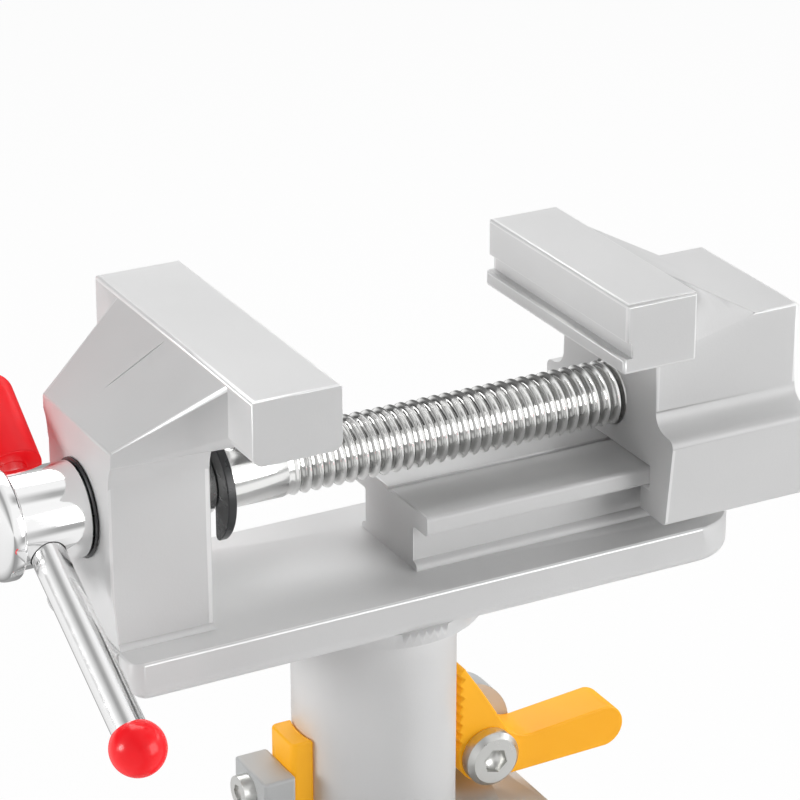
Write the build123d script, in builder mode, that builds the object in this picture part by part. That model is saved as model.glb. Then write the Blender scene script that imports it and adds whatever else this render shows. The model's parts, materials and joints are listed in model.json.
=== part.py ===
from build123d import *
import math
import os

# A mini table vise: a small screw vise on a round post that turns in the socket of a table clamp.
# The origin lies on the table top, under the middle of the post. X runs along the lead screw,
# away from the handle, Y across the jaws, and Z is up.

os.makedirs("parts", exist_ok=True)

# Driving dimensions of the vise, in millimetres. Heights are from the table top.
plate_top = 39.0
plate_thickness = 3.85
plate_left = -28.5
plate_right = 34.5
plate_half_width = 10.05
plate_corner = 5.0
plate_bottom_round = 1.2
plate_left_round = 1.8

jaw_top = plate_top + 25.3
jaw_opening = 30.0
fixed_face = -11.3
fixed_block_thickness = 8.4
fixed_block_height = 6.0
fixed_block_length = 32.4
moving_face = fixed_face + jaw_opening
moving_block_thickness = 7.7
moving_block_height = 6.7
moving_block_length = 25.0

wall_inner_face = -19.25
hub_face = -28.7
wall_foot_half_width = 6.54
foot_flare = 0.5
arch_start = plate_top + 15.3
arch_radius = 4.0

rail_start = 1.64
rail_end = 33.0
rail_web_half_width = 4.65
rail_flange_half_width = 7.34
rail_flange_bottom = plate_top + 4.24
rail_top = plate_top + 6.14

screw_axis = plate_top + 11.05
screw_crest_radius = 3.12
shank_radius = 3.0
thread_start = -9.9
screw_end = 38.5

post_radius = 7.75
post_bottom = 3.0
post_end_gap = 0.3
collar_radius = 10.3
plate_underside = plate_top - plate_thickness
running_clearance = 0.08

# The handle: its bar lies across the screw, tipped down towards the near side.
bar_plane_x = -33.2
bar_radius = 1.55
bar_tilt = math.radians(28.7)
bar_direction = (0, -math.cos(bar_tilt), -math.sin(bar_tilt))
hub_radius = 4.3
hub_end_radius = 5.0
ball_radius = 2.45
ball_distance = 24.7
grip_distance = 5.05
grip_length = 9.5

# Driving dimensions of the table clamp
arm_top = 10.0
arm_bottom = 1.5
socket_top = 12.0
socket_radius = 12.0
spine_outer = -32.0
spine_inner = -22.0
lower_arm_top = -52.0
lower_arm_bottom = -62.0
frame_half_width = 7.0
clamp_opening = 25.0
clamp_screw_radius = 4.0
clamp_screw_head_radius = 5.2
clamp_screw_head_top = -86.5
clamp_screw_head_height = 9.0
clamp_bar_angle = 35.0
clamp_bar_radius = 2.0
clamp_bar_half_length = 24.0
cap_radius = 3.3

# The orange lock on the post
lock_pivot_x = 11.0
lock_pivot_z = plate_top - 23.0
lock_half_width = 2.35
lock_hub_radius = 3.0
tooth_pitch = 1.0
tooth_depth = 0.5
tooth_count = 8


def finish(piece, name):
    """Give the piece its name and write it."""
    piece.part.label = name
    export_step(piece.part, f"parts/{name}.step")


def wedge_section(x, arc_end, side_low, side_top):
    """Cross-section of the wedge behind the fixed jaw: a flared foot, an arch and a flat roof."""
    flare_width = wall_foot_half_width + foot_flare
    with BuildSketch(Plane.YZ.offset(x)) as section:
        with BuildLine():
            foot = Line((0, plate_top - 1), (flare_width, plate_top - 1))
            foot_side = Line(foot @ 1, (flare_width, plate_top))
            flare = RadiusArc(foot_side @ 1, (wall_foot_half_width, plate_top + foot_flare), -foot_flare)
            wall = Line(flare @ 1, (wall_foot_half_width, arch_start))
            arch = TangentArc(wall @ 1, arc_end, tangent=(0, 1))
            ledge = Line(arch @ 1, side_low)
            side = Line(ledge @ 1, side_top)
            roof = Line(side @ 1, (0, side_top[1]))
            mirror(about=Plane.YZ)
        make_face()
    return section.sketch


# The vise body is one casting: fixed jaw, wedge, plate, T-shaped rail and post.
wedge_front = wedge_section(
    wall_inner_face,
    (wall_foot_half_width + arch_radius, arch_start + arch_radius),
    (11.7, plate_top + 19.4),
    (11.7, jaw_top - 0.1),
)
wedge_back = wedge_section(
    hub_face,
    (6.9, plate_top + 17.0),
    (7.3, plate_top + 17.6),
    (7.3, plate_top + 18.9),
)

with BuildPart() as fixed_block:
    block_centre_x = fixed_face - fixed_block_thickness / 2
    with Locations((block_centre_x, 0, jaw_top - fixed_block_height / 2)):
        Box(fixed_block_thickness, fixed_block_length, fixed_block_height)
    fillet(fixed_block.edges().filter_by(Axis.Y).group_by(Axis.Z)[0], radius=1.0)
    chamfer(fixed_block.edges().filter_by(Axis.Y).group_by(Axis.Z)[-1], length=0.25)

with BuildPart() as plate:
    with BuildSketch(Plane.XY.offset(plate_underside)):
        with Locations(((plate_left + plate_right) / 2, 0)):
            outline = Rectangle(plate_right - plate_left, 2 * plate_half_width)
        fillet(outline.vertices().group_by(Axis.X)[-1], radius=plate_corner)
    extrude(amount=plate_thickness)
    left_bottom_edge = plate.edges().filter_by(Axis.Y).group_by(Axis.Z)[0].sort_by(Axis.X)[0]
    fillet(left_bottom_edge, radius=plate_left_round)
    fillet(plate.faces().sort_by(Axis.Z)[0].edges(), radius=plate_bottom_round)
    chamfer(plate.faces().sort_by(Axis.Z)[-1].edges(), length=0.2)

with BuildPart() as vise_body:
    loft(sections=[wedge_front, wedge_back], ruled=True)
    # The roof's low edge, over the hub, is slightly rounded.
    roof_face = vise_body.faces().sort_by(Axis.Z)[-1]
    fillet(roof_face.edges().sort_by(Axis.Z)[0], radius=0.4)
    add(fixed_block)
    add(plate.part)
    # T-shaped rail, with a hollow along its foot and a shallow groove along its top
    with BuildSketch(Plane.YZ.offset(rail_start)):
        with BuildLine():
            rail_foot = 0.8
            flange_round = 0.45
            rail_groove_half_width = 0.35
            rail_groove_depth = 0.3
            foot_line = Line((0, plate_top - 1), (rail_web_half_width + rail_foot, plate_top - 1))
            foot_rise = Line(foot_line @ 1, (rail_web_half_width + rail_foot, plate_top))
            RadiusArc(foot_rise @ 1, (rail_web_half_width, plate_top + rail_foot), -rail_foot)
            FilletPolyline(
                (rail_web_half_width, plate_top + rail_foot),
                (rail_web_half_width, rail_flange_bottom),
                (rail_flange_half_width, rail_flange_bottom),
                (rail_flange_half_width, rail_top),
                (rail_groove_half_width, rail_top),
                radius=(0.3, flange_round, flange_round),
            )
            Polyline(
                (rail_groove_half_width, rail_top),
                (rail_groove_half_width, rail_top - rail_groove_depth),
                (0, rail_top - rail_groove_depth),
            )
            mirror(about=Plane.YZ)
        make_face()
    extrude(amount=rail_end - rail_start)
    # Collar and post under the plate
    collar_height = 0.9
    with BuildSketch(Plane.XY.offset(plate_underside - collar_height)):
        Circle(collar_radius)
    extrude(amount=collar_height + 0.5)
    with BuildSketch(Plane.XY.offset(post_bottom + post_end_gap)):
        Circle(post_radius)
    extrude(amount=plate_underside - post_bottom - post_end_gap)
    chamfer(vise_body.faces().sort_by(Axis.Z)[0].edges(), length=0.8)
    # The plain bore that carries the screw's shank
    with BuildSketch(Plane.YZ.offset(wall_inner_face + 1)):
        with Locations((0, screw_axis)):
            Circle(shank_radius + running_clearance)
    extrude(amount=hub_face - wall_inner_face - 2, mode=Mode.SUBTRACT)
    # Below the hub the end face leans in towards the plate's end.
    lean_height = 5.5
    lean_depth = 0.45
    with BuildSketch(Plane.XZ):
        with BuildLine():
            Polyline(
                (hub_face, plate_top + lean_height),
                (hub_face + lean_depth, plate_top),
                (hub_face - 1, plate_top),
                (hub_face - 1, plate_top + lean_height),
                close=True,
            )
        make_face()
    extrude(amount=wall_foot_half_width + 2, both=True, mode=Mode.SUBTRACT)
finish(vise_body, "vise_body")


# The moving jaw is a second casting, with a block across its front and a slot over the rail.
# Its walls stand on a wider step, and its roof rises from the back to the block.
slide_front = 25.0
slide_back = 40.4
roof_start = 26.4
roof_end = 35.4
slide_wall_half_width = 8.3
slide_step_half_width = 11.45
slide_foot_half_width = 10.5
step_hollow = 1.8
step_round = 0.8
foot_round = 0.4
slot_clearance = 0.07
lip_half_width = 5.95
slide_bottom = plate_top + 1.4
step_top = plate_top + 10.5
wall_low = plate_top + 11.4
wall_high = plate_top + 17.0


def slide_section(x, shoulder_z, roof_half_width, roof_z):
    """Upper cross-section of the moving jaw: upright walls, leaning shoulders and a flat roof."""
    with BuildSketch(Plane.YZ.offset(x)) as section:
        with BuildLine():
            Polyline(
                (0, wall_low),
                (slide_wall_half_width, wall_low),
                (slide_wall_half_width, shoulder_z),
                (roof_half_width, roof_z),
                (0, roof_z),
            )
            mirror(about=Plane.YZ)
        make_face()
    return section.sketch


slide_front_section = slide_section(roof_start, plate_top + 17.8, 6.6, jaw_top - 0.2)
slide_back_section = slide_section(roof_end, plate_top + 19.85, 8.15, plate_top + 20.05)

with BuildPart() as moving_block:
    # A shallow groove runs along the face, and the face steps back a little above it.
    face_step = 0.23
    groove_low = plate_top + 20.1
    groove_high = plate_top + 21.6
    groove_depth = 0.9
    block_bottom = jaw_top - moving_block_height
    with BuildSketch(Plane.XZ):
        with BuildLine():
            Polyline(
                (moving_face, block_bottom),
                (moving_face, groove_low),
                (moving_face + groove_depth, groove_low),
                (moving_face + groove_depth, groove_high),
                (moving_face + face_step, groove_high),
                (moving_face + face_step, jaw_top),
                (moving_face + moving_block_thickness, jaw_top),
                (moving_face + moving_block_thickness, block_bottom),
                close=True,
            )
        make_face()
    extrude(amount=moving_block_length / 2, both=True)
    chamfer(moving_block.faces().sort_by(Axis.Z)[-1].edges(), length=0.25)

with BuildPart() as moving_jaw:
    with BuildSketch(Plane.YZ.offset(slide_front)):
        with BuildLine():
            # The upright wall runs out in a hollow onto the step, and the step's rim is rounded.
            FilletPolyline(
                (0, rail_top + slot_clearance),
                (rail_flange_half_width + slot_clearance, rail_top + slot_clearance),
                (rail_flange_half_width + slot_clearance, rail_flange_bottom - slot_clearance),
                (lip_half_width, rail_flange_bottom - slot_clearance),
                (lip_half_width, slide_bottom),
                (slide_foot_half_width, slide_bottom),
                (slide_step_half_width, step_top - 0.3),
                (slide_wall_half_width, step_top),
                (slide_wall_half_width, wall_high),
                (0, wall_high),
                radius=(0, 0, 0, 0, foot_round, step_round, step_hollow, 0),
            )
            mirror(about=Plane.YZ)
        make_face()
    extrude(amount=slide_back - slide_front)
    loft(sections=[slide_front_section, slide_back_section], ruled=True)
    extrude(to_extrude=slide_front_section, amount=slide_front - roof_start)
    extrude(to_extrude=slide_back_section, amount=slide_back - roof_end)
    add(moving_block.part)
    # The tapped hole for the lead screw, drawn at the thread's crest
    with BuildSketch(Plane.YZ.offset(slide_front - 1)):
        with Locations((0, screw_axis)):
            Circle(screw_crest_radius + running_clearance)
    extrude(amount=slide_back - slide_front + 2, mode=Mode.SUBTRACT)
finish(moving_jaw, "moving_jaw")


# The lead screw: spigot in the hub, plain shank with a groove for the clip, and threaded length
spigot_radius = 2.6
spigot_end = -35.0
hub_front = -29.08
clip_start = -16.87
clip_thickness = 0.82
clip_groove_radius = 2.5
groove_slack = 0.03
bar_plane = Plane(origin=(bar_plane_x, 0, screw_axis), x_dir=(1, 0, 0), z_dir=bar_direction)

with BuildPart() as lead_screw:
    with BuildSketch(Plane.XZ.shift_origin((0, 0, screw_axis))):
        with BuildLine():
            Polyline(
                (spigot_end, 0),
                (spigot_end, spigot_radius),
                (hub_front, spigot_radius),
                (hub_front, shank_radius),
                (clip_start - groove_slack, shank_radius),
                (clip_start - groove_slack, clip_groove_radius),
                (clip_start + clip_thickness + groove_slack, clip_groove_radius),
                (clip_start + clip_thickness + groove_slack, shank_radius),
                (thread_start, shank_radius),
                (thread_start + 0.3, screw_crest_radius),
                (screw_end - 0.7, screw_crest_radius),
                (screw_end, screw_crest_radius - 0.7),
                (screw_end, 0),
                close=True,
            )
        make_face()
    revolve(axis=Axis((0, 0, screw_axis), (1, 0, 0)))
    with Locations(bar_plane):
        Cylinder(bar_radius + running_clearance, 20, mode=Mode.SUBTRACT)
finish(lead_screw, "lead_screw")

with BuildPart() as screw_hub:
    flange_start = -35.4
    dome_start = -36.5
    dome_end = -38.6
    dome_flat_radius = 1.2
    bore_slack = 0.02
    with BuildSketch(Plane.XZ.shift_origin((0, 0, screw_axis))):
        with BuildLine():
            Polyline(
                (spigot_end - 0.05, 0),
                (spigot_end - 0.05, spigot_radius + bore_slack),
                (hub_front, spigot_radius + bore_slack),
                (hub_front, hub_radius - 0.25),
                (hub_front - 0.25, hub_radius),
                (flange_start, hub_radius),
                (flange_start, hub_end_radius - 0.4),
                (flange_start - 0.4, hub_end_radius),
                (dome_start, hub_end_radius),
            )
            shoulder = Line((dome_start, hub_end_radius), (dome_start - 0.9, hub_end_radius - 0.8))
            ThreePointArc(shoulder @ 1, (dome_end + 0.3, 2.8), (dome_end, dome_flat_radius))
            Line((dome_end, dome_flat_radius), (dome_end, 0))
            Line((dome_end, 0), (spigot_end - 0.05, 0))
        make_face()
    revolve(axis=Axis((0, 0, screw_axis), (1, 0, 0)))
    with Locations(bar_plane):
        Cylinder(bar_radius + running_clearance, 20, mode=Mode.SUBTRACT)
finish(screw_hub, "screw_hub")

with BuildPart() as thrust_washer:
    washer_radius = 4.5
    washer_thickness = 0.3
    washer_slack = 0.03
    with BuildSketch(Plane.YZ.offset(hub_front + bore_slack)):
        with Locations((0, screw_axis)):
            Circle(washer_radius)
            Circle(shank_radius + washer_slack, mode=Mode.SUBTRACT)
    extrude(amount=washer_thickness)
finish(thrust_washer, "thrust_washer")

# The clip is an E-ring: open downwards, with a prong on each side of its mouth and one on top.
clip_outer_radius = 5.2
clip_outer_drop = 0.45
clip_relief_radius = 3.6
clip_mouth_width = 4.6
clip_prong_width = 2.2
lower_prong_top = screw_axis - 0.4

with BuildSketch(Plane.YZ.offset(clip_start)) as clip_reliefs:
    with Locations((0, screw_axis)):
        Circle(clip_relief_radius)
        Rectangle(clip_prong_width, 3 * clip_relief_radius, mode=Mode.SUBTRACT)
    with Locations((0, lower_prong_top)):
        Rectangle(
            3 * clip_relief_radius,
            2 * clip_relief_radius,
            align=(Align.CENTER, Align.MAX),
            mode=Mode.SUBTRACT,
        )

with BuildPart() as retaining_clip:
    with BuildSketch(Plane.YZ.offset(clip_start)):
        with Locations((0, screw_axis - clip_outer_drop)):
            Circle(clip_outer_radius)
        with Locations((0, screw_axis)):
            Circle(clip_groove_radius + groove_slack, mode=Mode.SUBTRACT)
            Rectangle(
                clip_mouth_width,
                2 * clip_outer_radius,
                align=(Align.CENTER, Align.MAX),
                mode=Mode.SUBTRACT,
            )
        add(clip_reliefs.sketch, mode=Mode.SUBTRACT)
    extrude(amount=clip_thickness)
    fillet(retaining_clip.edges().filter_by(Axis.X).group_by(Axis.Z)[0], radius=0.45)
finish(retaining_clip, "retaining_clip")


# The handle: a plain bar with a ball on its lower end and a grip on its upper end
bar_low_end = ball_distance - 0.4
bar_high_end = -(grip_distance + grip_length - 3.0)
cap_slack = 0.01

with BuildPart() as tommy_bar:
    with BuildSketch(bar_plane.offset(bar_high_end)):
        Circle(bar_radius)
    extrude(amount=bar_low_end - bar_high_end)
finish(tommy_bar, "tommy_bar")

with BuildPart() as bar_ball:
    with Locations(bar_plane.offset(ball_distance)):
        Sphere(ball_radius)
    neck_drop = 1.75
    with BuildSketch(bar_plane.offset(ball_distance - neck_drop)):
        Circle(2 * ball_radius)
    extrude(amount=-2 * ball_radius, mode=Mode.SUBTRACT)
    with BuildSketch(bar_plane.offset(bar_low_end + cap_slack)):
        Circle(bar_radius + cap_slack)
    extrude(amount=-2 * ball_radius, mode=Mode.SUBTRACT)
finish(bar_ball, "bar_ball")

with BuildPart() as bar_grip:
    grip_near_radius = 3.0
    grip_far_radius = 3.35
    grip_top = grip_distance + grip_length
    crown_flat_radius = 0.8
    with BuildSketch(Plane(origin=bar_plane.origin, x_dir=bar_plane.x_dir, z_dir=bar_plane.y_dir)):
        with BuildLine():
            outside = Polyline(
                (bar_radius + cap_slack, grip_distance),
                (grip_near_radius, grip_distance),
                (grip_far_radius, grip_top - 1.2),
                (grip_far_radius - 0.5, grip_top - 0.5),
            )
            crown = ThreePointArc(outside @ 1, (2.0, grip_top - 0.15), (crown_flat_radius, grip_top))
            Polyline(
                crown @ 1,
                (0, grip_top),
                (0, -bar_high_end + cap_slack),
                (bar_radius + cap_slack, -bar_high_end + cap_slack),
                (bar_radius + cap_slack, grip_distance),
            )
        make_face()
    revolve(axis=Axis(bar_plane.origin, bar_plane.z_dir))
finish(bar_grip, "bar_grip")


# The table clamp is one casting: spine, two arms, socket for the post and lugs for the lock.
lug_near = 2.5
lug_thickness = 3.0
lug_radius = 5.1
lock_screw_radius = 1.5
back_lug_face = -9.72
back_lug_back = -13.0
back_lug_half_width = 3.2
back_lug_top = 19.5
arm_middle_x = -2.5
arm_length = 39.0
arm_width = 17.0
boss_radius = 8.5
boss_drop = 1.5
spine_hollow_width = 5.4
spine_hollow_height = 52.0
spine_hollow_depth = 1.8
pad_screw_heights = (13.9, 17.5)
pad_screw_radius = 1.0
screw_slack = 0.02

with BuildPart() as table_clamp:
    with BuildSketch(Plane.XZ):
        with BuildLine():
            FilletPolyline(
                (0, arm_bottom),
                (spine_inner, arm_bottom),
                (spine_inner, lower_arm_top),
                (0, lower_arm_top),
                (0, lower_arm_bottom),
                (spine_outer, lower_arm_bottom),
                (spine_outer, arm_top),
                (0, arm_top),
                close=True,
                radius=(0, 3.0, 3.0, 0, 0, 9.0, 6.0, 0),
            )
        make_face()
    extrude(amount=frame_half_width, both=True)
    with BuildSketch(Plane.XY.offset(arm_bottom)):
        with Locations((arm_middle_x, 0)):
            arm_plan = Rectangle(arm_length, arm_width)
        fillet(arm_plan.vertices().group_by(Axis.X)[-1], radius=5)
        Circle(socket_radius)
    extrude(amount=arm_top - arm_bottom)
    with BuildSketch(Plane.XY.offset(arm_bottom)):
        Circle(socket_radius)
    extrude(amount=socket_top - arm_bottom)
    # Boss for the clamp screw
    with BuildSketch(Plane.XY.offset(lower_arm_top)):
        Circle(boss_radius)
    extrude(amount=lower_arm_bottom - boss_drop - lower_arm_top)
    # Hollows in both sides of the spine
    for side in (-1, 1):
        with BuildSketch(Plane.XZ.offset(side * frame_half_width)):
            with Locations(((spine_outer + spine_inner) / 2, -spine_hollow_height / 2)):
                RectangleRounded(spine_hollow_width, spine_hollow_height, 2.2)
        extrude(amount=-side * spine_hollow_depth, mode=Mode.SUBTRACT)
    # Far lug for the lock's pivot screw, and back lug behind the fixed pad
    with BuildSketch(Plane.XZ.offset(-lug_near)):
        with Locations((lock_pivot_x, lock_pivot_z)):
            Circle(lug_radius)
        with Locations((lock_pivot_x, (arm_top + lock_pivot_z) / 2 - 0.5)):
            Rectangle(2 * lug_radius, lock_pivot_z - arm_top + 1)
    extrude(amount=-lug_thickness)
    with Locations(((back_lug_face + back_lug_back) / 2, 0, (arm_top + back_lug_top) / 2 - 0.5)):
        Box(back_lug_face - back_lug_back, 2 * back_lug_half_width, back_lug_top - arm_top + 1)
    # Room for the post, and its bore
    with BuildSketch(Plane.XY.offset(socket_top)):
        Circle(post_radius + 0.5)
    extrude(amount=20, mode=Mode.SUBTRACT)
    with BuildSketch(Plane.XY.offset(post_bottom)):
        Circle(post_radius + running_clearance)
    extrude(amount=20, mode=Mode.SUBTRACT)
    with BuildSketch(Plane.XZ):
        with Locations((lock_pivot_x, lock_pivot_z)):
            Circle(lock_screw_radius + screw_slack)
    extrude(amount=-20, mode=Mode.SUBTRACT)
    with BuildSketch(Plane.YZ.offset(back_lug_back - 1)):
        with Locations(*[(0, height) for height in pad_screw_heights]):
            Circle(pad_screw_radius + screw_slack)
    extrude(amount=5, mode=Mode.SUBTRACT)
    with BuildSketch(Plane.XY.offset(lower_arm_top + 1)):
        Circle(clamp_screw_radius + running_clearance)
    extrude(amount=-20, mode=Mode.SUBTRACT)
finish(table_clamp, "table_clamp")

with BuildPart() as table_cushion:
    cushion_length = 35.0
    cushion_width = 15.0
    with BuildSketch(Plane.XY):
        with Locations((-1.0, 0)):
            RectangleRounded(cushion_length, cushion_width, 3)
    extrude(amount=arm_bottom)
finish(table_cushion, "table_cushion")


# The lock on the post: a toothed lever that turns on a screw, and a fixed pad opposite it
with BuildPart() as post_lock_cam:
    tooth_line = -3.1
    first_tooth = 1.1
    with BuildSketch(Plane.XZ.shift_origin((lock_pivot_x, 0, lock_pivot_z))):
        with BuildLine():
            teeth = [(-lock_hub_radius, 0), (tooth_line, first_tooth)]
            for tooth in range(tooth_count):
                low = first_tooth + tooth * tooth_pitch
                teeth.append((tooth_line + tooth_depth, low + 0.5 * tooth_pitch))
                teeth.append((tooth_line, low + tooth_pitch))
            Polyline(*teeth)
            nose = Line(teeth[-1], (-2.75, 9.6))
            tip = TangentArc(nose @ 1, (-2.3, 9.45), tangent=(0.6, 0.8))
            back = ThreePointArc(tip @ 1, (-1.0, 7.5), (1.85, 2.7))
            throat = TangentArc(back @ 1, (5.5, 0.9), tangent=back % 1)
            handle_top = Line(throat @ 1, (13.4, 1.55))
            handle_end = ThreePointArc(handle_top @ 1, (15.3, -0.6), (13.4, -2.75))
            handle_bottom = Line(handle_end @ 1, (0.4, -lock_hub_radius + 0.03))
            ThreePointArc(handle_bottom @ 1, (-2.12, -2.12), (-lock_hub_radius, 0))
        make_face()
        Circle(lock_screw_radius + running_clearance, mode=Mode.SUBTRACT)
    extrude(amount=lock_half_width, both=True)
finish(post_lock_cam, "post_lock_cam")

with BuildPart() as cam_screw:
    head_radius = 2.8
    head_height = 1.6
    head_face = lock_half_width + 0.1
    with BuildSketch(Plane.XZ.offset(head_face)):
        with Locations((lock_pivot_x, lock_pivot_z)):
            Circle(head_radius)
    extrude(amount=head_height)
    chamfer(cam_screw.faces().sort_by(Axis.Y)[0].edges(), length=0.5)
    with BuildSketch(Plane.XZ.offset(head_face)):
        with Locations((lock_pivot_x, lock_pivot_z)):
            Circle(lock_screw_radius)
    extrude(amount=-(head_face + lug_near + lug_thickness - 0.2))
finish(cam_screw, "cam_screw")

with BuildPart() as post_pad:
    pad_back = -9.7
    pad_depth = 3.5
    pad_base = socket_top + 0.02
    pad_top = plate_top - 16.6
    pad_gap = 0.12
    with BuildSketch(Plane.XY.offset(pad_base)):
        with Locations((pad_back, 0)):
            pad_plan = Rectangle(pad_depth, 2 * lock_half_width, align=(Align.MIN, Align.CENTER))
        fillet(pad_plan.vertices().group_by(Axis.X)[0], radius=0.6)
        Circle(post_radius + pad_gap, mode=Mode.SUBTRACT)
    extrude(amount=pad_top - pad_base)
    with BuildSketch(Plane.YZ.offset(pad_back)):
        with Locations(*[(0, height) for height in pad_screw_heights]):
            Circle(pad_screw_radius + screw_slack)
    extrude(amount=1.2, mode=Mode.SUBTRACT)
finish(post_pad, "post_pad")

with BuildPart() as pad_screws:
    pad_screw_head_radius = 1.6
    pad_screw_head_height = 1.2
    with BuildSketch(Plane.YZ.offset(back_lug_back)):
        with Locations(*[(0, height) for height in pad_screw_heights]):
            Circle(pad_screw_head_radius)
    extrude(amount=-pad_screw_head_height)
    with BuildSketch(Plane.YZ.offset(back_lug_back)):
        with Locations(*[(0, height) for height in pad_screw_heights]):
            Circle(pad_screw_radius)
    extrude(amount=pad_back + 1.1 - back_lug_back)
finish(pad_screws, "pad_screws")


# The clamp's pressure pad, its screw and the screw's sliding bar
pad_radius = 9.0
cushion_thickness = 1.5
pad_plate_thickness = 3.2
pad_plate_bottom = -clamp_opening - cushion_thickness - pad_plate_thickness
pad_bottom = -clamp_opening - 9.0
spigot_top = -28.5
clamp_spigot_radius = 2.5

with BuildPart() as clamp_pad:
    with BuildSketch(Plane.XZ):
        with BuildLine():
            Polyline(
                (0, -clamp_opening - cushion_thickness),
                (pad_radius, -clamp_opening - cushion_thickness),
                (pad_radius, pad_plate_bottom + 1.2),
                (pad_radius - 0.8, pad_plate_bottom + 0.4),
                (5.8, pad_bottom + 0.6),
                (5.2, pad_bottom),
                (clamp_spigot_radius + running_clearance, pad_bottom),
                (clamp_spigot_radius + running_clearance, spigot_top + 0.1),
                (0, spigot_top + 0.1),
                close=True,
            )
        make_face()
    revolve(axis=Axis.Z)
finish(clamp_pad, "clamp_pad")

with BuildPart() as pad_cushion:
    with BuildSketch(Plane.XY.offset(-clamp_opening)):
        Circle(pad_radius - 0.6)
    extrude(amount=-cushion_thickness)
finish(pad_cushion, "pad_cushion")

clamp_head_bottom = clamp_screw_head_top - clamp_screw_head_height
clamp_bar_height = clamp_screw_head_top - clamp_screw_head_height / 2
clamp_bar_plane = Plane(
    origin=(0, 0, clamp_bar_height),
    x_dir=(0, 0, 1),
    z_dir=(
        math.cos(math.radians(clamp_bar_angle)),
        math.sin(math.radians(clamp_bar_angle)),
        0,
    ),
)

with BuildPart() as clamp_screw:
    with BuildSketch(Plane.XZ):
        with BuildLine():
            Polyline(
                (0, spigot_top),
                (clamp_spigot_radius, spigot_top),
                (clamp_spigot_radius, pad_bottom - 0.1),
                (clamp_screw_radius - 0.7, pad_bottom - 0.1),
                (clamp_screw_radius, pad_bottom - 0.8),
                (clamp_screw_radius, clamp_screw_head_top),
                (clamp_screw_head_radius - 0.4, clamp_screw_head_top),
                (clamp_screw_head_radius, clamp_screw_head_top - 0.4),
                (clamp_screw_head_radius, clamp_head_bottom + 0.8),
                (clamp_screw_head_radius - 0.8, clamp_head_bottom),
                (0, clamp_head_bottom),
                close=True,
            )
        make_face()
    revolve(axis=Axis.Z)
    with Locations(clamp_bar_plane):
        Cylinder(clamp_bar_radius + running_clearance, 20, mode=Mode.SUBTRACT)
finish(clamp_screw, "clamp_screw")

with BuildPart() as clamp_bar:
    with Locations(clamp_bar_plane):
        Cylinder(clamp_bar_radius, 2 * clamp_bar_half_length)
finish(clamp_bar, "clamp_bar")

# Each end of the bar carries a cap: a short sleeve with a domed end.
cap_length = 5.4
cap_overlap = 3.6
for end, name in ((1, "clamp_bar_cap_a"), (-1, "clamp_bar_cap_b")):
    inner_end = clamp_bar_half_length - cap_overlap
    with BuildPart() as clamp_cap:
        with BuildSketch(clamp_bar_plane.offset(end * inner_end)):
            Circle(cap_radius)
        extrude(amount=end * cap_length)
        outward = Axis(clamp_bar_plane.origin, clamp_bar_plane.z_dir * end)
        outer_face = clamp_cap.faces().sort_by(outward)[-1]
        chamfer(outer_face.edges(), length=1.3)
        with BuildSketch(clamp_bar_plane.offset(end * inner_end)):
            Circle(clamp_bar_radius + cap_slack)
        extrude(amount=end * (cap_overlap + cap_slack), mode=Mode.SUBTRACT)
    finish(clamp_cap, name)
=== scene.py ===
import bmesh
import bpy
import json
import math
from mathutils import Matrix, Vector

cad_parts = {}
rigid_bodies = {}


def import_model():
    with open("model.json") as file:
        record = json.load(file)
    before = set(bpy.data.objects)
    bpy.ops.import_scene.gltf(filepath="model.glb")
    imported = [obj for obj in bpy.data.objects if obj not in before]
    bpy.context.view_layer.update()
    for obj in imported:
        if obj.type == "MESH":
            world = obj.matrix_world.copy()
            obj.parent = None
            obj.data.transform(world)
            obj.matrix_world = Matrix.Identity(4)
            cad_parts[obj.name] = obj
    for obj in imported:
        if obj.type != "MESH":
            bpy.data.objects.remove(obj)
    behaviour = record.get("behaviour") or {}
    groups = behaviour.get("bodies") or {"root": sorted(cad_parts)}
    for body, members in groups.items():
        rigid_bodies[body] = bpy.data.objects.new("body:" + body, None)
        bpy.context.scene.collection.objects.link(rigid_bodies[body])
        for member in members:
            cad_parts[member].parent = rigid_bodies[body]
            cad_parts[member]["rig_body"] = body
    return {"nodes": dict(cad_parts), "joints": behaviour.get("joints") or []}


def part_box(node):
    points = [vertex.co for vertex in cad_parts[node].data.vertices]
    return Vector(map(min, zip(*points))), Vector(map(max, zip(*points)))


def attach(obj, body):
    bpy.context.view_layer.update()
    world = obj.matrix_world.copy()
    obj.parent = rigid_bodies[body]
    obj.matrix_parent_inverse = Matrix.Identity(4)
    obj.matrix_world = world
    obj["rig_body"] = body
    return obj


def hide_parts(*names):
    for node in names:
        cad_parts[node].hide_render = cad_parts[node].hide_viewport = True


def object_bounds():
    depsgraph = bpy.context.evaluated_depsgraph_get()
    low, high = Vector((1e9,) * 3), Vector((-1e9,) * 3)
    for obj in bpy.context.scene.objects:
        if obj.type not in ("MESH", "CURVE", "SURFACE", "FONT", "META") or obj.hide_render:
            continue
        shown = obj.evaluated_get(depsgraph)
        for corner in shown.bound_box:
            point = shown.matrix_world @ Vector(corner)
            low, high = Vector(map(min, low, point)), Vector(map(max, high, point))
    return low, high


# %% [markdown]
# # A mini table vise
# The vise is two silver castings, a chromed screw with a sliding handle bar, and a clamp that
# holds the vise's round post on a table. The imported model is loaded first, as a fixed frame:
# every piece made here is placed by it, in metres. The sizes of the frame are kept, because the
# dressed model has to stay inside them.

# %% Load the frame and keep its size
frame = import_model()
cad_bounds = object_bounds()
MM = 0.001


def rounded(point):
    """A point as a short list, for printing."""
    return [round(value, 4) for value in point]


print("frame from", rounded(cad_bounds[0]), "to", rounded(cad_bounds[1]))

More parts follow.
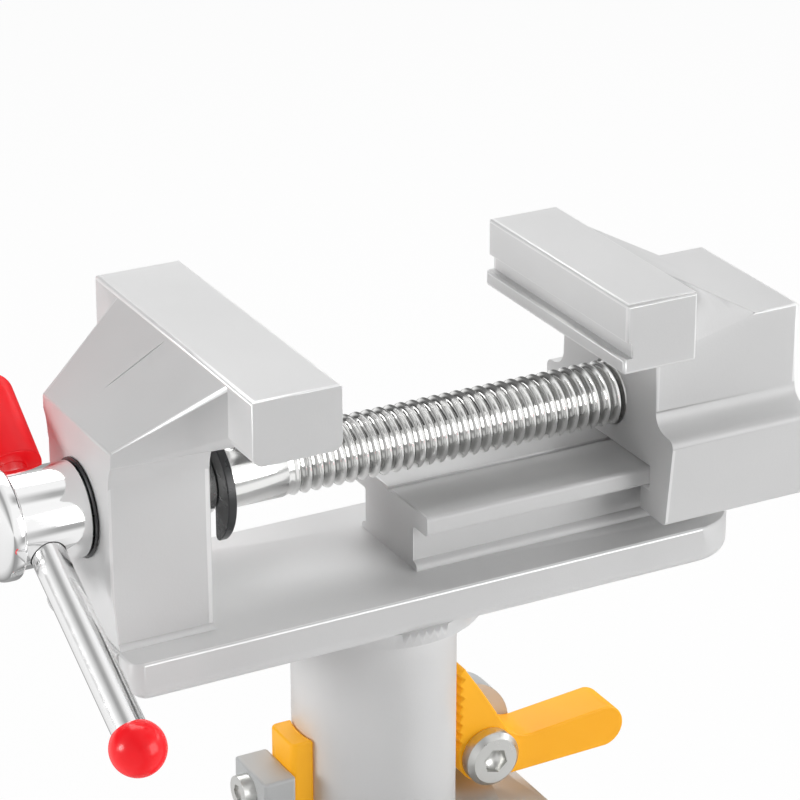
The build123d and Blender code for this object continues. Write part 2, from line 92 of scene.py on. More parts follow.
# %% [markdown]
# ## Camera
# A product shot from above the near side, through a long lens. A camera is often aimed with a
# constraint, but this one is built from its viewing direction and its up direction, so that the
# small roll of the real shot can be kept. The shift slides the picture without turning it.

# %% Camera
def add_object(name, data):
    """A new object with its data, linked to the scene."""
    made = bpy.data.objects.new(name, data)
    bpy.context.scene.collection.objects.link(made)
    return made


camera_place = Vector((-126.78, -242.09, 173.94)) * MM
view_direction = Vector((0.46192, 0.78922, -0.40466)).normalized()
camera_up = Vector((0.18992, 0.35766, 0.91434))
camera_right = view_direction.cross(camera_up).normalized()
camera_up = camera_right.cross(view_direction)

camera_data = bpy.data.cameras.new("camera")
camera_data.sensor_width = 36.0
camera_data.lens = 148.95
camera_data.shift_x = -0.1445
camera_data.shift_y = 0.0172
camera_data.clip_start = 0.01
camera = add_object("camera", camera_data)
turn = Matrix((camera_right, camera_up, -view_direction)).transposed()
camera.matrix_world = Matrix.Translation(camera_place) @ turn.to_4x4()
bpy.context.scene.camera = camera
bpy.context.scene.view_settings.view_transform = "Standard"
print("camera at", rounded(camera_place), "lens", camera_data.lens)

# %% [markdown]
# ## The room that metal mirrors
# Chrome has no colour of its own: it shows the room. A photographer's white tent leaves thin
# grey lines where its cards meet and a dark opening low at the back, and these lines are what
# makes a polished cylinder look round. A picture of a room could be mapped here, but two colour
# ramps over the direction's angle say the same thing in a few stops. Both are made from the same
# few nodes, so these come first.

# %% Helpers for shader nodes
def multiply(tree, value, factor):
    """The product of a socket and either a number or another socket."""
    node = tree.nodes.new("ShaderNodeMath")
    node.operation = "MULTIPLY"
    tree.links.new(value, node.inputs[0])
    if isinstance(factor, bpy.types.NodeSocket):
        tree.links.new(factor, node.inputs[1])
    else:
        node.inputs[1].default_value = factor
    return node.outputs["Value"]


def spread(tree, value, start, end, low=0.0, high=1.0):
    """Spread what lies between start and end over the range from low to high."""
    node = tree.nodes.new("ShaderNodeMapRange")
    node.inputs["From Min"].default_value = start
    node.inputs["From Max"].default_value = end
    node.inputs["To Min"].default_value = low
    node.inputs["To Max"].default_value = high
    tree.links.new(value, node.inputs["Value"])
    return node.outputs["Result"]


def angle_ramp(tree, first, second, stops):
    """Grey values by the angle, in degrees, whose sine is first and whose cosine is second."""
    angle = tree.nodes.new("ShaderNodeMath")
    angle.operation = "ARCTAN2"
    tree.links.new(first, angle.inputs[0])
    tree.links.new(second, angle.inputs[1])
    ramp = tree.nodes.new("ShaderNodeValToRGB")
    tree.links.new(spread(tree, angle.outputs["Value"], -math.pi, math.pi), ramp.inputs["Fac"])
    elements = ramp.color_ramp.elements
    for element, (degrees, grey) in zip(elements, (stops[0], stops[-1])):
        element.position = (degrees + 180) / 360
        element.color = (grey, grey, grey, 1)
    for degrees, grey in stops[1:-1]:
        element = elements.new((degrees + 180) / 360)
        element.color = (grey, grey, grey, 1)
    return ramp.outputs["Color"]


# %% [markdown]
# One ramp turns about the screw's axis and serves what faces right. The other turns across it and
# serves the rest. Each stop is an angle, with 0 straight up, and the grey found there. A dark
# curtain hangs at the back left, which only the flanks of the thread find. The curtain and the
# right side each come in over a span of the direction's back, up or right part: nothing of them
# shows at the span's first number, and all at its second.

# %% The mirrored room
right_side_stops = (
    (-180, 0.20), (-118, 0.20), (-110, 0.08), (-95, 0.11), (-80, 0.34), (-68, 0.72), (-57, 0.93),
    (-33, 0.96), (-21, 0.86), (-9, 0.98), (4, 0.98), (17, 0.42), (25, 0.44), (33, 1.0),
    (92, 1.0), (101, 0.40), (109, 0.40), (118, 0.94), (160, 0.93), (171, 0.22), (180, 0.20),
)
left_side_stops = (
    (-180, 0.30), (-150, 0.85), (-60, 1.0), (-42, 0.70), (-24, 0.36), (-12, 0.42), (0, 0.76),
    (16, 1.0), (120, 0.95), (160, 0.40), (180, 0.30),
)
curtain_grey = 0.15
curtain_back_span = (0.35, 0.60)
curtain_up_span = (0.0, 0.2)
right_side_span = (0.20, 0.42)


def mirrored_room(tree):
    """The colour that a polished surface finds in each direction."""
    place = tree.nodes.new("ShaderNodeTexCoord")
    parts = tree.nodes.new("ShaderNodeSeparateXYZ")
    tree.links.new(place.outputs["Generated"], parts.inputs["Vector"])
    to_right, to_back, up = (parts.outputs[axis] for axis in "XYZ")
    right_side = angle_ramp(tree, multiply(tree, to_back, -1), up, right_side_stops)
    left_side = angle_ramp(tree, to_right, up, left_side_stops)
    behind = spread(tree, to_back, *curtain_back_span)
    curtain = tree.nodes.new("ShaderNodeMixRGB")
    curtain.inputs["Color2"].default_value = (curtain_grey, curtain_grey, curtain_grey, 1)
    tree.links.new(multiply(tree, behind, spread(tree, up, *curtain_up_span)), curtain.inputs["Fac"])
    tree.links.new(left_side, curtain.inputs["Color1"])
    mix = tree.nodes.new("ShaderNodeMixRGB")
    tree.links.new(spread(tree, to_right, *right_side_span), mix.inputs["Fac"])
    tree.links.new(curtain.outputs["Color"], mix.inputs["Color1"])
    tree.links.new(right_side, mix.inputs["Color2"])
    return mix.outputs["Color"]


# %% [markdown]
# ## World and lamps
# The background is white because the world is plain white to the camera, not because more light
# falls on the vise. The world gives diffuse surfaces only a weak fill. The form comes from soft
# lamps: two large ones above, behind and to the right, one low at the right front, and two small
# ones at the left that light the faces towards the handle.

# %% World
def background(tree, strength):
    """A white background of the given strength."""
    made = tree.nodes.new("ShaderNodeBackground")
    made.inputs["Color"].default_value = (1, 1, 1, 1)
    made.inputs["Strength"].default_value = strength
    return made


def choose(tree, ray, otherwise, seen):
    """The seen shader for one kind of ray, and the other one for the rest."""
    mix = tree.nodes.new("ShaderNodeMixShader")
    tree.links.new(ray, mix.inputs["Fac"])
    tree.links.new(otherwise.outputs[0], mix.inputs[1])
    tree.links.new(seen.outputs[0], mix.inputs[2])
    return mix


def build_world(fill):
    """A weak fill for diffuse light, the mirrored room for polish, and white behind the object."""
    world = bpy.data.worlds.new("room")
    world.use_nodes = True
    tree = world.node_tree
    tree.nodes.clear()
    paths = tree.nodes.new("ShaderNodeLightPath")
    mirrored = background(tree, 1.0)
    tree.links.new(mirrored_room(tree), mirrored.inputs["Color"])
    lit = choose(tree, paths.outputs["Is Glossy Ray"], background(tree, fill), mirrored)
    seen = choose(tree, paths.outputs["Is Camera Ray"], lit, background(tree, 1.0))
    output = tree.nodes.new("ShaderNodeOutputWorld")
    tree.links.new(seen.outputs[0], output.inputs["Surface"])
    bpy.context.scene.world = world


build_world(fill=0.06)
print("world nodes:", len(bpy.context.scene.world.node_tree.nodes))

# %% Lamps
lamp_aim = Vector((0, 0, 0.04))


def soft_lamp(name, place, size, power):
    """A square area lamp, in metres and watts, that faces the vise."""
    data = bpy.data.lights.new(name, "AREA")
    data.shape = "SQUARE"
    data.size = size
    data.energy = power
    aim = (lamp_aim - Vector(place)).to_track_quat("-Z", "Y")
    add_object(name, data).matrix_world = Matrix.Translation(Vector(place)) @ aim.to_matrix().to_4x4()


soft_lamp("top back lamp", (0.15, 0.45, 0.62), size=0.5, power=3.10)
soft_lamp("right lamp", (0.62, 0.05, 0.45), size=0.5, power=2.40)
soft_lamp("front right lamp", (0.50, -0.60, 0.20), size=0.5, power=3.40)
soft_lamp("left low lamp", (-0.78, 0.14, 0.16), size=0.2, power=1.10)
soft_lamp("left lamp", (-0.76, 0.04, 0.25), size=0.2, power=1.90)
print("lamps:", len(bpy.data.lights))

# %% [markdown]
# ## Dark card
# The upper side of the thread mirrors something dark, while the hub beside it does not.
# Photographers place a dark card for that. It hangs above and to the right, where only the thread
# finds it, and it shows in reflections only, so that it shades nothing.

# %% Dark card
def mesh_of(name, shape):
    """A mesh with the shape of a bmesh, which is freed."""
    mesh = bpy.data.meshes.new(name)
    shape.to_mesh(mesh)
    shape.free()
    return mesh


card_width = 0.223
card_depth = 0.240
card_centre = (0.1685, 0.030, 0.165)
card_colour = (0.10, 0.10, 0.10, 1)

card_shape = bmesh.new()
bmesh.ops.create_grid(card_shape, x_segments=1, y_segments=1, size=0.5)
bmesh.ops.scale(card_shape, verts=card_shape.verts, vec=(card_width, card_depth, 1))
bmesh.ops.translate(card_shape, verts=card_shape.verts, vec=card_centre)
card_paint = bpy.data.materials.new("card paint")
card_paint.use_nodes = True
card_paint.node_tree.nodes["Principled BSDF"].inputs["Base Color"].default_value = card_colour
dark_card = add_object("dark_card", mesh_of("dark_card", card_shape))
dark_card.data.materials.append(card_paint)
dark_card.visible_camera = False
dark_card.visible_diffuse = False
dark_card.visible_shadow = False
print("dark card hung at", card_centre)

# %% [markdown]
# ## Floor
# The clamp's screw hangs far below the vise and comes down further when it is opened, so the
# floor lies deep in the picture, below the screw's lowest position. To the camera it is plain
# white with a trace of its true answer mixed in, which leaves a faint shadow. Polished metal
# looks through it, so that the room's bands run on below the horizon.

# %% Floor
def build_floor(level, reach, shadow_share):
    """A pale floor at the given height."""
    shape = bmesh.new()
    bmesh.ops.create_grid(shape, x_segments=1, y_segments=1, size=reach)
    bmesh.ops.translate(shape, verts=shape.verts, vec=(0, 0, level))
    floor = add_object("floor", mesh_of("floor", shape))
    material = bpy.data.materials.new("pale floor")
    material.use_nodes = True
    tree = material.node_tree
    tree.nodes.clear()
    matt = tree.nodes.new("ShaderNodeBsdfDiffuse")
    matt.inputs["Color"].default_value = (0.9, 0.9, 0.9, 1)
    white = tree.nodes.new("ShaderNodeEmission")
    clear = tree.nodes.new("ShaderNodeBsdfTransparent")
    paths = tree.nodes.new("ShaderNodeLightPath")
    white_share = multiply(tree, paths.outputs["Is Camera Ray"], 1 - shadow_share)
    pale = choose(tree, white_share, matt, white)
    passed = choose(tree, paths.outputs["Is Glossy Ray"], pale, clear)
    output = tree.nodes.new("ShaderNodeOutputMaterial")
    tree.links.new(passed.outputs[0], output.inputs["Surface"])
    floor.data.materials.append(material)


def joint_named(name):
    """The frame's record of one joint."""
    return next(joint for joint in frame["joints"] if joint["name"] == name)


gap_over_floor = 0.2 * MM
floor_level = cad_bounds[0][2] + joint_named("clamp_travel")["range_m"][0] - gap_over_floor
build_floor(floor_level, reach=3.0, shadow_share=0.06)
print("floor at", round(floor_level, 4))

# %% [markdown]
# ## Finishes
# Each finish is a Principled shader whose even values sit on its own sockets, because a linked
# value that never changes is lost when the model is exported. What does vary over the surface
# comes from noise read in Object coordinates, in metres, so that the grain has its real size: a
# scale of 2500 makes grains of about 0.4 mm. Noise seldom leaves the middle of its range, so only
# that middle is spread over the two shades or the two values that it drifts between.

# %% A new finish and its noise
def new_finish(name, colour, metallic=0.0, roughness=0.5, specular=0.5, painted_glow=0.0):
    """A Principled material with its even values on the shader's own sockets."""
    material = bpy.data.materials.new(name)
    material.use_nodes = True
    shader = material.node_tree.nodes["Principled BSDF"]
    shader.inputs["Base Color"].default_value = (*colour, 1)
    shader.inputs["Metallic"].default_value = metallic
    shader.inputs["Roughness"].default_value = roughness
    shader.inputs["Specular IOR Level"].default_value = specular
    # A glow is painted light: the finish shines in its own colour without a lamp.
    shader.inputs["Emission Color"].default_value = (*colour, 1)
    shader.inputs["Emission Strength"].default_value = painted_glow
    return material


def noise_field(material, scale, detail=3.0):
    """Noise over the piece in Object coordinates; returns the socket with its value."""
    nodes, links = material.node_tree.nodes, material.node_tree.links
    place = nodes.new("ShaderNodeTexCoord")
    noise = nodes.new("ShaderNodeTexNoise")
    noise.inputs["Scale"].default_value = scale
    noise.inputs["Detail"].default_value = detail
    links.new(place.outputs["Object"], noise.inputs["Vector"])
    return noise.outputs["Fac"]


# %% Drifting colour and gloss, and grain
middle_for_colour = (0.35, 0.65)
middle_for_gloss = (0.3, 0.7)


def vary_colour(material, field, dark, light):
    """Base colour drifts between two shades with the field."""
    nodes, links = material.node_tree.nodes, material.node_tree.links
    ramp = nodes.new("ShaderNodeValToRGB")
    for element, position, colour in zip(ramp.color_ramp.elements, middle_for_colour, (dark, light)):
        element.position = position
        element.color = (*colour, 1)
    links.new(field, ramp.inputs["Fac"])
    links.new(ramp.outputs["Color"], nodes["Principled BSDF"].inputs["Base Color"])


def vary_gloss(material, field, low, high):
    """Roughness drifts between two values with the field."""
    tree = material.node_tree
    roughness = spread(tree, field, *middle_for_gloss, low, high)
    tree.links.new(roughness, tree.nodes["Principled BSDF"].inputs["Roughness"])


def add_grain(material, field, height):
    """Fine relief of the given height in metres."""
    nodes, links = material.node_tree.nodes, material.node_tree.links
    bump = nodes.new("ShaderNodeBump")
    bump.inputs["Strength"].default_value = 1.0
    bump.inputs["Distance"].default_value = height
    links.new(field, bump.inputs["Height"])
    links.new(bump.outputs["Normal"], nodes["Principled BSDF"].inputs["Normal"])


# %% [markdown]
# ### Cast silver
# The castings are blasted and sprayed with a satin silver: nearly even, a little cloudy, with a
# fine grain. A real metal shader would mirror the dark parts of the room and turn the flat faces
# grey, so the answer is nearly all diffuse. The rounded edges get a brighter, more metallic
# finish of their own: a painted highlight for the thin line of light along each edge.

# %% Cast silver and clamp grey
def cast_finish(name, dark, light, metallic):
    """A satin coat over a blasted casting."""
    material = new_finish(name, light, metallic=metallic, roughness=0.42, specular=0.35)
    vary_colour(material, noise_field(material, scale=60, detail=2.0), dark, light)
    vary_gloss(material, noise_field(material, scale=400), low=0.38, high=0.48)
    add_grain(material, noise_field(material, scale=4500, detail=2.0), height=0.006 * MM)
    return material


cast_silver = cast_finish("cast silver", (0.765, 0.765, 0.765), (0.80, 0.80, 0.80), metallic=0.04)
clamp_grey = cast_finish("clamp grey", (0.55, 0.56, 0.56), (0.59, 0.60, 0.60), metallic=0.04)
# The edge finish is a painted highlight: brighter and more metallic than the coat it edges.
painted_edge_highlight = cast_finish("painted edge highlight", (0.90, 0.90, 0.90), (0.95, 0.95, 0.95), metallic=0.35)
print("cast finishes:", cast_silver.name, clamp_grey.name, painted_edge_highlight.name)

# %% [markdown]
# ### Bright metals
# Plated steel is a mirror with a trace of polishing lines, so only its roughness drifts. The hub
# is polished best. The bar is drawn rod, whose fine lines blur what it mirrors a little more.

# %% Bright metals
def bright_finish(name, colour, smooth, worn):
    """Plated steel: a clean mirror whose gloss drifts with fine polishing marks."""
    material = new_finish(name, colour, metallic=1.0, roughness=smooth)
    vary_gloss(material, noise_field(material, scale=900, detail=4.0), smooth, worn)
    return material


hub_chrome = bright_finish("hub chrome", (0.93, 0.93, 0.93), smooth=0.05, worn=0.09)
bar_chrome = bright_finish("bar chrome", (0.93, 0.93, 0.93), smooth=0.12, worn=0.20)
zinc_plate = bright_finish("zinc plate", (0.66, 0.66, 0.64), smooth=0.25, worn=0.40)
print("bright finishes:", hub_chrome.name, bar_chrome.name, zinc_plate.name)

# %% [markdown]
# ### Thread
# The bottom of a thread is painted darker, as shade. A wash of dark paint could be drawn on, but
# the depth is known everywhere: it is the distance from the screw's axis. So that distance
# chooses between a darker root, which is painted shade, and a bright crest.

# %% Thread finish
def thread_finish_with_painted_shade(name, axis_point, keep, root, crest):
    """Bright at the crest radius and darker at the root, as painted shade; keep is 0 along the axis
    and 1 across.
    """
    material = bright_finish(name, (0.9, 0.9, 0.9), smooth=0.10, worn=0.18)
    tree = material.node_tree
    place = tree.nodes.new("ShaderNodeTexCoord")
    mapping = tree.nodes.new("ShaderNodeMapping")
    mapping.inputs["Location"].default_value = [-part * kept for part, kept in zip(axis_point, keep)]
    mapping.inputs["Scale"].default_value = keep
    tree.links.new(place.outputs["Object"], mapping.inputs["Vector"])
    distance = tree.nodes.new("ShaderNodeVectorMath")
    distance.operation = "LENGTH"
    tree.links.new(mapping.outputs["Vector"], distance.inputs[0])
    height = spread(tree, distance.outputs["Value"], root, crest)
    # The ramp paints shade at the root and keeps the crest bright.
    ramp = tree.nodes.new("ShaderNodeValToRGB")
    root_painted_shade, bright_flank = ramp.color_ramp.elements
    root_painted_shade.color = (0.50, 0.50, 0.49, 1)
    bright_flank.position = 0.5
    bright_flank.color = (0.92, 0.92, 0.91, 1)
    tree.links.new(height, ramp.inputs["Fac"])
    tree.links.new(ramp.outputs["Color"], tree.nodes["Principled BSDF"].inputs["Base Color"])
    return material


# %% [markdown]
# ### Dark steel, plastics and rubber
# The clip and the washer are blackened spring steel with an oily shine. The red caps are dipped
# plastic, glossy with a slightly wavy skin. The orange lock is moulded and more matt. Both
# plastics get a faint glow in their own colour, which is painted light: it makes them brighter
# than the lamps alone do.

# %% Dark steel and rubber
black_steel = new_finish("black steel", (0.022, 0.023, 0.025), roughness=0.3, specular=0.6)
vary_gloss(black_steel, noise_field(black_steel, scale=700), low=0.22, high=0.38)
add_grain(black_steel, noise_field(black_steel, scale=6000), height=0.002 * MM)

black_rubber = new_finish("black rubber", (0.025, 0.025, 0.027), roughness=0.7)
vary_gloss(black_rubber, noise_field(black_rubber, scale=500), low=0.6, high=0.8)
add_grain(black_rubber, noise_field(black_rubber, scale=5000), height=0.012 * MM)
print("dark finishes:", black_steel.name, black_rubber.name)

# %% Plastics
# Both plastics glow faintly: painted light in their own colour.
red_plastic = new_finish(
    "red plastic", (0.95, 0.012, 0.018), roughness=0.22, specular=0.3, painted_glow=0.3,
)
red_field = noise_field(red_plastic, scale=120)
vary_colour(red_plastic, red_field, (0.92, 0.010, 0.016), (0.97, 0.014, 0.022))
add_grain(red_plastic, noise_field(red_plastic, scale=900), height=0.006 * MM)

orange_plastic = new_finish(
    "orange plastic", (1.0, 0.46, 0.02), roughness=0.38, specular=0.25, painted_glow=0.22,
)
orange_field = noise_field(orange_plastic, scale=90)
vary_colour(orange_plastic, orange_field, (0.97, 0.43, 0.014), (1.0, 0.48, 0.020))
add_grain(orange_plastic, noise_field(orange_plastic, scale=3500), height=0.008 * MM)
print("materials:", len(bpy.data.materials))

# %% [markdown]
# ## Helpers for pieces
# A finished piece sits at the origin with its place in its mesh, rides on a body of the frame
# and stands for one of its nodes. The body is read from the frame, so that a piece can't be put
# on the wrong one.

# %% Helpers for pieces
SHARP_DEGREES = 35


def body_of(node):
    """The body that a CAD node belongs to."""
    return frame["nodes"][node]["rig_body"]


def finish_piece(name, shape, material, node, sharp_degrees=SHARP_DEGREES):
    """Turn a bmesh into a piece that stands for a CAD node and rides on its body."""
    mesh = mesh_of(name, shape)
    for polygon in mesh.polygons:
        polygon.use_smooth = True
    mesh.set_sharp_from_angle(angle=math.radians(sharp_degrees))
    mesh.materials.append(material)
    piece = add_object(name, mesh)
    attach(piece, body_of(node))
    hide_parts(node)
    return piece


# %% [markdown]
# ## The castings
# The shapes of the castings are right in the frame, but their edges are too crisp. A real casting
# catches a thin line of light along every edge. Each node is copied and its triangles are joined
# to flat faces again. A bevel of one width would fold over itself beside the thin faces of the
# grooves and chamfers, so each edge gets a weight: the full round where it is long and there is
# room for it, and less where there isn't. Inner corners and the short steps of drilled and turned
# edges are left as they are.

# %% Weights for the rounding
share_of_a_face = 0.3
share_of_a_neighbour = 0.45


def room_beside(edge, sharp):
    """How wide a round fits on an edge: beside thin faces, and where plain edges end on it."""
    width = min(face.calc_area() / edge.calc_length() for face in edge.link_faces)
    room = share_of_a_face * width
    for vert in edge.verts:
        along = (edge.other_vert(vert).co - vert.co).normalized()
        for other in vert.link_edges:
            if other not in sharp:
                reach = other.other_vert(vert).co - vert.co
                room = min(room, share_of_a_neighbour * along.cross(reach).length)
    return room


def ends_in_a_curved_corner(edge, sharp, least_length):
    """Whether an end of the edge lies on the short steps of a curved inner corner."""
    return any(
        other in sharp and not other.is_convex and other.calc_length() < least_length
        for vert in edge.verts for other in vert.link_edges
    )


def weigh_edges(shape, full_round, least_length, share):
    """Weight each sharp outer edge by the round that there is room for."""
    weight = shape.edges.layers.float.new("bevel_weight_edge")
    sharp = {
        edge for edge in shape.edges
        if len(edge.link_faces) == 2 and edge.calc_face_angle(0) > math.radians(SHARP_DEGREES)
    }
    for edge in sharp:
        long_enough = edge.is_convex and edge.calc_length() > least_length
        if long_enough and not ends_in_a_curved_corner(edge, sharp, least_length):
            room = min(room_beside(edge, sharp), share * edge.calc_length())
            edge[weight] = min(1.0, room / full_round)


# %% [markdown]
# The triangles are welded and joined before the edges are weighed, and the rounding itself is
# left to a live Bevel, which reads the weights. A share keeps the round of a short edge small,
# as a part of the edge's own length. The painted edge highlight, when one is given, goes into
# the second material slot and onto the rounded faces.

# %% Rounded copies
weld_distance = 2e-7
flat_degrees = 0.6


def soft_copy(node, name, material, full_round, least_length=0.0, share=math.inf, edge=None):
    """A copy of a CAD node as clean faces, with its sharp outer edges rounded."""
    shape = bmesh.new()
    shape.from_mesh(frame["nodes"][node].data)
    bmesh.ops.remove_doubles(shape, verts=shape.verts, dist=weld_distance)
    bmesh.ops.dissolve_limit(
        shape, angle_limit=math.radians(flat_degrees), verts=shape.verts, edges=shape.edges,
    )
    weigh_edges(shape, full_round, least_length, share)
    piece = finish_piece(name, shape, material, node)
    bevel = piece.modifiers.new("edge round", "BEVEL")
    bevel.width = full_round
    bevel.segments = 3
    bevel.limit_method = "WEIGHT"
    bevel.use_clamp_overlap = False
    bevel.harden_normals = True
    # edge is the painted highlight finish for the rounded faces.
    if edge:
        piece.data.materials.append(edge)
        bevel.material = 1
    print(name, "faces", len(piece.data.polygons))
    return piece


# %% Castings, lock, clip and rubber
curve_step = 1.1 * MM
short_edge_share = 0.03
soft_copy(
    "vise_body", "vise_casting", cast_silver, 0.5 * MM, curve_step, short_edge_share, painted_edge_highlight,
)
soft_copy("moving_jaw", "jaw_casting", cast_silver, 0.3 * MM, curve_step, edge=painted_edge_highlight)
soft_copy("table_clamp", "clamp_casting", clamp_grey, 0.35 * MM, curve_step)
soft_copy("post_lock_cam", "lock_lever", orange_plastic, 0.2 * MM)
soft_copy("post_pad", "lock_pad", orange_plastic, 0.25 * MM)
soft_copy("retaining_clip", "spring_clip", black_steel, 0.12 * MM)
soft_copy("table_cushion", "table_skin", black_rubber, 0.2 * MM)
soft_copy("pad_cushion", "pad_skin", black_rubber, 0.3 * MM)

# %% [markdown]
# ## Turned parts
# Hubs, caps, washers and screws are turned on a lathe, and here too: a profile of distance and
# radius is spun about the axis. The spin merges its last step with its first, and what meets on
# the axis is merged after it. A round in a profile is a quarter of an ellipse, which leaves its
# first point either along the axis, as a dome does, or across it, as the edge of a flat end
# does. How far a part reaches along its axis is measured on the node that it stands for.

# %% Lathe
def lathe(shape, origin, direction, profile, segments=96):
    """Spin a profile of (distance along the axis, radius) pairs about an axis."""
    direction = Vector(direction).normalized()
    side = direction.orthogonal().normalized()
    ring = [
        shape.verts.new(Vector(origin) + direction * along + side * radius)
        for along, radius in profile
    ]
    edges = [shape.edges.new(pair) for pair in zip(ring, ring[1:])]
    bmesh.ops.spin(
        shape, geom=ring + edges, cent=origin, axis=direction,
        angle=2 * math.pi, steps=segments, use_merge=True,
    )
    bmesh.ops.remove_doubles(shape, verts=shape.verts, dist=1e-7)
    bmesh.ops.recalc_face_normals(shape, faces=shape.faces)


def new_turned(name, node, material, origin, direction, profile, segments=96):
    """A piece spun from one profile."""
    shape = bmesh.new()
    lathe(shape, origin, direction, profile, segments)
    return finish_piece(name, shape, material, node)


# %% Rounds and reaches of turned parts
def quarter_round(start, end, steps, along_first=True):
    """Points of a quarter ellipse from one profile point to another, without the first."""
    points = []
    for step in range(1, steps + 1):
        angle = step / steps * math.pi / 2
        fast, slow = math.sin(angle), 1 - math.cos(angle)
        along_share, radius_share = (fast, slow) if along_first else (slow, fast)
        points.append((
            start[0] + (end[0] - start[0]) * along_share,
            start[1] + (end[1] - start[1]) * radius_share,
        ))
    return points


def span_along(node, origin, direction):
    """How far a node reaches along a direction, from and to, measured on its CAD mesh."""
    reach = [(v.co - Vector(origin)).dot(direction) for v in frame["nodes"][node].data.vertices]
    return min(reach), max(reach)


# %% [markdown]
# ## Screw threads
# A thread is one short profile that is spun and moved along the axis at the same time. Spinning
# all of its turns at once is slow, so one turn is spun and then repeated, and merging the doubles
# joins the turns. The profile is a raised cosine, whose power makes the crests narrow and the
# roots wide and round.

# %% Threads
profile_steps = 14
steps_per_turn = 48
crest_power = 2.5


def thread_turn(shape, origin, direction, first, crest, root, pitch):
    """One turn of a thread, which starts at the first distance along the axis."""
    side = direction.orthogonal().normalized()
    ring = []
    for step in range(profile_steps + 1):
        share = step / profile_steps
        rise = (0.5 - 0.5 * math.cos(2 * math.pi * share)) ** crest_power
        radius = root + rise * (crest - root)
        along = first + share * pitch
        ring.append(shape.verts.new(Vector(origin) + direction * along + side * radius))
    edges = [shape.edges.new(pair) for pair in zip(ring, ring[1:])]
    bmesh.ops.spin(
        shape, geom=ring + edges, cent=origin, axis=direction,
        dvec=direction * (pitch / steps_per_turn), angle=2 * math.pi, steps=steps_per_turn,
    )


def cut_thread(shape, origin, direction, start, end, crest, root, pitch):
    """A helical thread between two distances along an axis, closed at both ends."""
    direction = Vector(direction).normalized()
    turns = math.ceil((end - start) / pitch) + 2
    thread_turn(shape, origin, direction, start - pitch, crest, root, pitch)
    one_turn = shape.verts[:] + shape.edges[:] + shape.faces[:]
    for turn in range(1, turns):
        copied = bmesh.ops.duplicate(shape, geom=one_turn)
        moved = [item for item in copied["geom"] if isinstance(item, bmesh.types.BMVert)]
        bmesh.ops.translate(shape, verts=moved, vec=direction * pitch * turn)
    bmesh.ops.remove_doubles(shape, verts=shape.verts, dist=1e-6)
    for distance, sign in ((start, -1), (end, 1)):
        bmesh.ops.bisect_plane(
            shape, geom=shape.verts[:] + shape.edges[:] + shape.faces[:],
            plane_co=Vector(origin) + direction * distance, plane_no=direction * sign,
            clear_outer=True,
        )
    rims = [edge for edge in shape.edges if edge.is_boundary]
    bmesh.ops.holes_fill(shape, edges=rims, sides=0)
    bmesh.ops.recalc_face_normals(shape, faces=shape.faces)


# %% [markdown]
# ## Lead screw
# The screw of the vise has a plain shank with a groove for the clip, and a thread over the rest
# of its length. The thread fades in over its first turn and a half, where the dies started, and
# is chamfered at its far end. Both are made on the finished thread: each point is moved to the
# distance from the axis that it may have at its place.

# %% Sizes of the lead screw
screw_low, screw_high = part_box("lead_screw")
clip_low, clip_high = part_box("retaining_clip")
hub_low, hub_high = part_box("screw_hub")
screw_origin = Vector((0, 0, (screw_low.z + screw_high.z) / 2))
x_axis = Vector((1, 0, 0))
crest_radius = (screw_high.z - screw_low.z) / 2
root_radius = crest_radius - 0.48 * MM
thread_pitch = 1.15 * MM
shank_radius = 3.0 * MM
groove_radius = 2.5 * MM
thread_start = -9.9 * MM
run_in_turns = 1.6
end_chamfer = 0.8 * MM
print("lead screw", round(2 * crest_radius / MM, 2), "mm thick")

# %% Thread of the lead screw
def turn_down(shape, origin, direction, allowed):
    """Move each point to the radius that allowed gives for its distance and its radius."""
    direction = Vector(direction).normalized()
    for vert in shape.verts:
        offset = vert.co - Vector(origin)
        along = offset.dot(direction)
        across = offset - direction * along
        radius = across.length
        if radius > 1e-9:
            scale = allowed(along, radius) / radius
            vert.co = Vector(origin) + direction * along + across * scale


def screw_allowed(along, radius):
    """The thread grows out of the shank, from just under its surface, and is chamfered at its end."""
    share = min(1.0, max(0.0, (along - thread_start) / (run_in_turns * thread_pitch)))
    grown = shank_radius - 0.02 * MM + (radius - shank_radius) * share
    chamfer = crest_radius - max(0.0, along - (screw_high.x - end_chamfer))
    return min(grown, chamfer)


screw_shape = bmesh.new()
cut_thread(
    screw_shape, screw_origin, x_axis, thread_start, screw_high.x,
    crest_radius, root_radius, thread_pitch,
)
turn_down(screw_shape, screw_origin, x_axis, screw_allowed)
print("thread faces", len(screw_shape.faces))

# %% Shank of the lead screw
groove_slack = 0.1 * MM
overlap = 0.05 * MM
shank_shape = bmesh.new()
lathe(shank_shape, screw_origin, x_axis, (
    (hub_high.x, 0), (hub_high.x, shank_radius),
    (clip_low.x - groove_slack, shank_radius), (clip_low.x - groove_slack, groove_radius),
    (clip_high.x + groove_slack, groove_radius), (clip_high.x + groove_slack, shank_radius),
    (thread_start, shank_radius), (thread_start + overlap, shank_radius - overlap),
    (thread_start + overlap, 0),
))
shank_mesh = mesh_of("shank", shank_shape)
screw_shape.from_mesh(shank_mesh)
bpy.data.meshes.remove(shank_mesh)
screw_finish = thread_finish_with_painted_shade("screw thread", screw_origin, (0, 1, 1), root_radius, crest_radius)
screw_piece = finish_piece(
    "threaded_screw", screw_shape, screw_finish, "lead_screw", sharp_degrees=60,
)
print("lead screw faces", len(screw_piece.data.polygons))

# %% [markdown]
# ## Hub
# The hub is turned from bar: a plain drum, a wider rim and a domed end, with small rounds where
# the edges were broken. It is drilled across for the handle bar. Drilling uses a boolean with a
# cylinder, applied at once, so that only the finished mesh stays.

